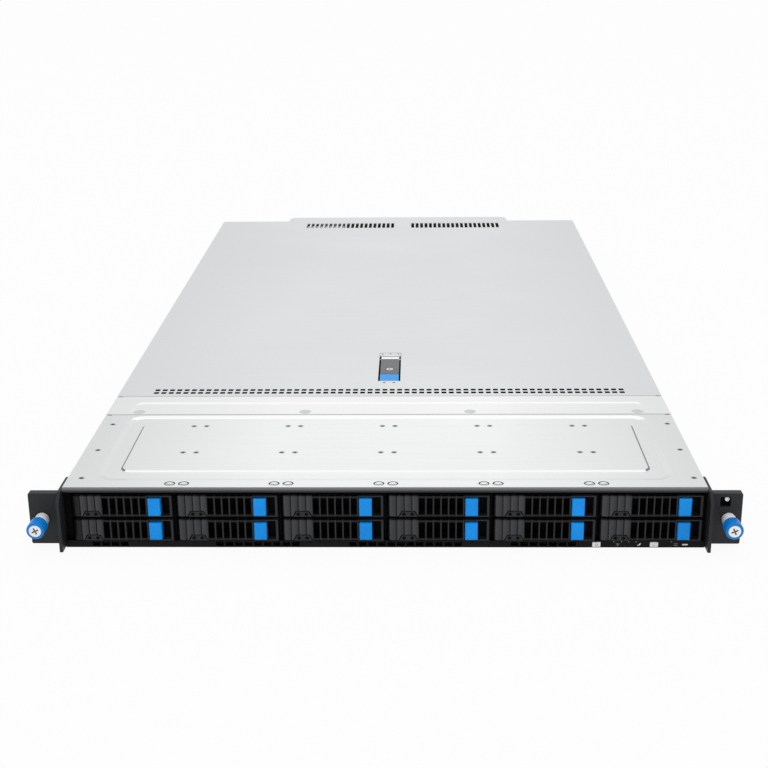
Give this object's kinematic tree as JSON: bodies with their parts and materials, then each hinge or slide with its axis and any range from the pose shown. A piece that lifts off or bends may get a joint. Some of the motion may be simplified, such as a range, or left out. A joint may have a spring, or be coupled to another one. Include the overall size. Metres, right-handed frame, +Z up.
{
  "type": "1u rack server",
  "caption": "Flat 19 inch rack server with front drive trays, hinged tray levers, blue push-buttons and captive thumbscrews, a sliding rear cover and pull-out power supplies.",
  "frame": {"origin": "on the underside, at mid-width, in the plane where the rack ears meet the rack posts", "axes": "+X to the right as seen from the front, +Y from the front to the rear, +Z up"},
  "size_m": [0.4826, 0.8842, 0.0436],
  "materials": {
    "pale_steel": "zinc-coated sheet, satin",
    "black_steel": "fine black powder coat",
    "tray_black": "black coated tray with its drive",
    "black_plastic": "fine matt moulding",
    "blue_plastic": "satin moulding",
    "latch_grey": "satin moulding",
    "white_plastic": "satin moulding",
    "board": "green circuit board",
    "sink": "bare",
    "psu_case": "plated case"
  },
  "bodies": {
    "chassis": {"chassis_tub": "pale_steel", "drive_bay_cover": "pale_steel", "fan_bay_cover": "pale_steel", "rack_ears": "black_steel", "drive_cage": "black_steel", "drive_backplane": "board", "fan_frames": "black_plastic", "motherboard": "board", "cpu_heatsinks": "sink", "memory_banks": "board"},
    "cover": {"rear_cover": "pale_steel"},
    "latch": {"cover_latch": "latch_grey"},
    "thumbscrew_left": {"thumbscrew_left": "blue_plastic"},
    "thumbscrew_right": {"thumbscrew_right": "blue_plastic"},
    "power_button": {"power_button": "white_plastic"},
    "locate_button": {"locate_button": "white_plastic"},
    "psu_left": {"psu_left": "psu_case"},
    "psu_right": {"psu_right": "psu_case"},
    "tray_01": {"drive_tray_01": "tray_black"},
    "lever_01": {"tray_lever_01": "black_plastic"},
    "button_01": {"tray_button_01": "blue_plastic"},
    "tray_02": {"drive_tray_02": "tray_black"},
    "lever_02": {"tray_lever_02": "black_plastic"},
    "button_02": {"tray_button_02": "blue_plastic"},
    "tray_03": {"drive_tray_03": "tray_black"},
    "lever_03": {"tray_lever_03": "black_plastic"},
    "button_03": {"tray_button_03": "blue_plastic"},
    "tray_04": {"drive_tray_04": "tray_black"},
    "lever_04": {"tray_lever_04": "black_plastic"},
    "button_04": {"tray_button_04": "blue_plastic"},
    "tray_05": {"drive_tray_05": "tray_black"},
    "lever_05": {"tray_lever_05": "black_plastic"},
    "button_05": {"tray_button_05": "blue_plastic"},
    "tray_06": {"drive_tray_06": "tray_black"},
    "lever_06": {"tray_lever_06": "black_plastic"},
    "button_06": {"tray_button_06": "blue_plastic"},
    "tray_07": {"drive_tray_07": "tray_black"},
    "lever_07": {"tray_lever_07": "black_plastic"},
    "button_07": {"tray_button_07": "blue_plastic"},
    "tray_08": {"drive_tray_08": "tray_black"},
    "lever_08": {"tray_lever_08": "black_plastic"},
    "button_08": {"tray_button_08": "blue_plastic"},
    "tray_09": {"drive_tray_09": "tray_black"},
    "lever_09": {"tray_lever_09": "black_plastic"},
    "button_09": {"tray_button_09": "blue_plastic"},
    "tray_10": {"drive_tray_10": "tray_black"},
    "lever_10": {"tray_lever_10": "black_plastic"},
    "button_10": {"tray_button_10": "blue_plastic"},
    "tray_11": {"drive_tray_11": "tray_black"},
    "lever_11": {"tray_lever_11": "black_plastic"},
    "button_11": {"tray_button_11": "blue_plastic"},
    "tray_12": {"drive_tray_12": "tray_black"},
    "lever_12": {"tray_lever_12": "black_plastic"},
    "button_12": {"tray_button_12": "blue_plastic"},
    "rotor_1": {"fan_rotor_1": "black_plastic"},
    "rotor_2": {"fan_rotor_2": "black_plastic"},
    "rotor_3": {"fan_rotor_3": "black_plastic"},
    "rotor_4": {"fan_rotor_4": "black_plastic"},
    "rotor_5": {"fan_rotor_5": "black_plastic"},
    "rotor_6": {"fan_rotor_6": "black_plastic"}
  },
  "joints": [
    {"name": "cover_slide", "type": "slide", "parent": "chassis", "child": "cover", "axis": [0, 1, 0], "range_m": [0, 0.014]},
    {"name": "latch_lift", "type": "hinge", "parent": "cover", "child": "latch", "pos_m": [0, 0.281, 0.041], "axis": [-1, 0, 0], "range_deg": [0, 80]},
    {"name": "thumbscrew_left_turn", "type": "hinge", "parent": "chassis", "child": "thumbscrew_left", "pos_m": [-0.23255, -0.006, 0.0214], "axis": [0, 1, 0], "continuous": true},
    {"name": "thumbscrew_right_turn", "type": "hinge", "parent": "chassis", "child": "thumbscrew_right", "pos_m": [0.23255, -0.006, 0.0214], "axis": [0, 1, 0], "continuous": true},
    {"name": "power_button_press", "type": "slide", "parent": "chassis", "child": "power_button", "axis": [0, 1, 0], "range_m": [0, 0.001], "stiffness_N_per_m": 400},
    {"name": "locate_button_press", "type": "slide", "parent": "chassis", "child": "locate_button", "axis": [0, 1, 0], "range_m": [0, 0.001], "stiffness_N_per_m": 400},
    {"name": "psu_left_slide", "type": "slide", "parent": "chassis", "child": "psu_left", "axis": [0, 1, 0], "range_m": [0, 0.18]},
    {"name": "psu_right_slide", "type": "slide", "parent": "chassis", "child": "psu_right", "axis": [0, 1, 0], "range_m": [0, 0.18]},
    {"name": "tray_01_slide", "type": "slide", "parent": "chassis", "child": "tray_01", "axis": [0, -1, 0], "range_m": [0, 0.125]},
    {"name": "lever_01_swing", "type": "hinge", "parent": "tray_01", "child": "lever_01", "pos_m": [-0.2086, -0.002, 0.023], "axis": [0, 0, -1], "range_deg": [0, 60]},
    {"name": "button_01_press", "type": "slide", "parent": "tray_01", "child": "button_01", "axis": [1, 0, 0], "range_m": [0, 0.003], "stiffness_N_per_m": 300},
    {"name": "tray_02_slide", "type": "slide", "parent": "chassis", "child": "tray_02", "axis": [0, -1, 0], "range_m": [0, 0.125]},
    {"name": "lever_02_swing", "type": "hinge", "parent": "tray_02", "child": "lever_02", "pos_m": [-0.1369, -0.002, 0.023], "axis": [0, 0, -1], "range_deg": [0, 60]},
    {"name": "button_02_press", "type": "slide", "parent": "tray_02", "child": "button_02", "axis": [1, 0, 0], "range_m": [0, 0.003], "stiffness_N_per_m": 300},
    {"name": "tray_03_slide", "type": "slide", "parent": "chassis", "child": "tray_03", "axis": [0, -1, 0], "range_m": [0, 0.125]},
    {"name": "lever_03_swing", "type": "hinge", "parent": "tray_03", "child": "lever_03", "pos_m": [-0.0652, -0.002, 0.023], "axis": [0, 0, -1], "range_deg": [0, 60]},
    {"name": "button_03_press", "type": "slide", "parent": "tray_03", "child": "button_03", "axis": [1, 0, 0], "range_m": [0, 0.003], "stiffness_N_per_m": 300},
    {"name": "tray_04_slide", "type": "slide", "parent": "chassis", "child": "tray_04", "axis": [0, -1, 0], "range_m": [0, 0.125]},
    {"name": "lever_04_swing", "type": "hinge", "parent": "tray_04", "child": "lever_04", "pos_m": [0.0065, -0.002, 0.023], "axis": [0, 0, -1], "range_deg": [0, 60]},
    {"name": "button_04_press", "type": "slide", "parent": "tray_04", "child": "button_04", "axis": [1, 0, 0], "range_m": [0, 0.003], "stiffness_N_per_m": 300},
    {"name": "tray_05_slide", "type": "slide", "parent": "chassis", "child": "tray_05", "axis": [0, -1, 0], "range_m": [0, 0.125]},
    {"name": "lever_05_swing", "type": "hinge", "parent": "tray_05", "child": "lever_05", "pos_m": [0.0782, -0.002, 0.023], "axis": [0, 0, -1], "range_deg": [0, 60]},
    {"name": "button_05_press", "type": "slide", "parent": "tray_05", "child": "button_05", "axis": [1, 0, 0], "range_m": [0, 0.003], "stiffness_N_per_m": 300},
    {"name": "tray_06_slide", "type": "slide", "parent": "chassis", "child": "tray_06", "axis": [0, -1, 0], "range_m": [0, 0.125]},
    {"name": "lever_06_swing", "type": "hinge", "parent": "tray_06", "child": "lever_06", "pos_m": [0.1499, -0.002, 0.023], "axis": [0, 0, -1], "range_deg": [0, 60]},
    {"name": "button_06_press", "type": "slide", "parent": "tray_06", "child": "button_06", "axis": [1, 0, 0], "range_m": [0, 0.003], "stiffness_N_per_m": 300},
    {"name": "tray_07_slide", "type": "slide", "parent": "chassis", "child": "tray_07", "axis": [0, -1, 0], "range_m": [0, 0.125]},
    {"name": "lever_07_swing", "type": "hinge", "parent": "tray_07", "child": "lever_07", "pos_m": [-0.2086, -0.002, 0.0053], "axis": [0, 0, -1], "range_deg": [0, 60]},
    {"name": "button_07_press", "type": "slide", "parent": "tray_07", "child": "button_07", "axis": [1, 0, 0], "range_m": [0, 0.003], "stiffness_N_per_m": 300},
    {"name": "tray_08_slide", "type": "slide", "parent": "chassis", "child": "tray_08", "axis": [0, -1, 0], "range_m": [0, 0.125]},
    {"name": "lever_08_swing", "type": "hinge", "parent": "tray_08", "child": "lever_08", "pos_m": [-0.1369, -0.002, 0.0053], "axis": [0, 0, -1], "range_deg": [0, 60]},
    {"name": "button_08_press", "type": "slide", "parent": "tray_08", "child": "button_08", "axis": [1, 0, 0], "range_m": [0, 0.003], "stiffness_N_per_m": 300},
    {"name": "tray_09_slide", "type": "slide", "parent": "chassis", "child": "tray_09", "axis": [0, -1, 0], "range_m": [0, 0.125]},
    {"name": "lever_09_swing", "type": "hinge", "parent": "tray_09", "child": "lever_09", "pos_m": [-0.0652, -0.002, 0.0053], "axis": [0, 0, -1], "range_deg": [0, 60]},
    {"name": "button_09_press", "type": "slide", "parent": "tray_09", "child": "button_09", "axis": [1, 0, 0], "range_m": [0, 0.003], "stiffness_N_per_m": 300},
    {"name": "tray_10_slide", "type": "slide", "parent": "chassis", "child": "tray_10", "axis": [0, -1, 0], "range_m": [0, 0.125]},
    {"name": "lever_10_swing", "type": "hinge", "parent": "tray_10", "child": "lever_10", "pos_m": [0.0065, -0.002, 0.0053], "axis": [0, 0, -1], "range_deg": [0, 60]},
    {"name": "button_10_press", "type": "slide", "parent": "tray_10", "child": "button_10", "axis": [1, 0, 0], "range_m": [0, 0.003], "stiffness_N_per_m": 300},
    {"name": "tray_11_slide", "type": "slide", "parent": "chassis", "child": "tray_11", "axis": [0, -1, 0], "range_m": [0, 0.125]},
    {"name": "lever_11_swing", "type": "hinge", "parent": "tray_11", "child": "lever_11", "pos_m": [0.0782, -0.002, 0.0053], "axis": [0, 0, -1], "range_deg": [0, 60]},
    {"name": "button_11_press", "type": "slide", "parent": "tray_11", "child": "button_11", "axis": [1, 0, 0], "range_m": [0, 0.003], "stiffness_N_per_m": 300},
    {"name": "tray_12_slide", "type": "slide", "parent": "chassis", "child": "tray_12", "axis": [0, -1, 0], "range_m": [0, 0.125]},
    {"name": "lever_12_swing", "type": "hinge", "parent": "tray_12", "child": "lever_12", "pos_m": [0.1499, -0.002, 0.0053], "axis": [0, 0, -1], "range_deg": [0, 60]},
    {"name": "button_12_press", "type": "slide", "parent": "tray_12", "child": "button_12", "axis": [1, 0, 0], "range_m": [0, 0.003], "stiffness_N_per_m": 300},
    {"name": "rotor_1_spin", "type": "hinge", "parent": "chassis", "child": "rotor_1", "pos_m": [-0.17925, 0.155, 0.0212], "axis": [0, 1, 0], "continuous": true},
    {"name": "rotor_2_spin", "type": "hinge", "parent": "chassis", "child": "rotor_2", "pos_m": [-0.10755, 0.155, 0.0212], "axis": [0, 1, 0], "continuous": true},
    {"name": "rotor_3_spin", "type": "hinge", "parent": "chassis", "child": "rotor_3", "pos_m": [-0.03585, 0.155, 0.0212], "axis": [0, 1, 0], "continuous": true},
    {"name": "rotor_4_spin", "type": "hinge", "parent": "chassis", "child": "rotor_4", "pos_m": [0.03585, 0.155, 0.0212], "axis": [0, 1, 0], "continuous": true},
    {"name": "rotor_5_spin", "type": "hinge", "parent": "chassis", "child": "rotor_5", "pos_m": [0.10755, 0.155, 0.0212], "axis": [0, 1, 0], "continuous": true},
    {"name": "rotor_6_spin", "type": "hinge", "parent": "chassis", "child": "rotor_6", "pos_m": [0.17925, 0.155, 0.0212], "axis": [0, 1, 0], "continuous": true}
  ],
  "couplings": [
    {"joint": "latch_lift", "follows": "cover_slide", "rad_per_m": 99.7}
  ]
}
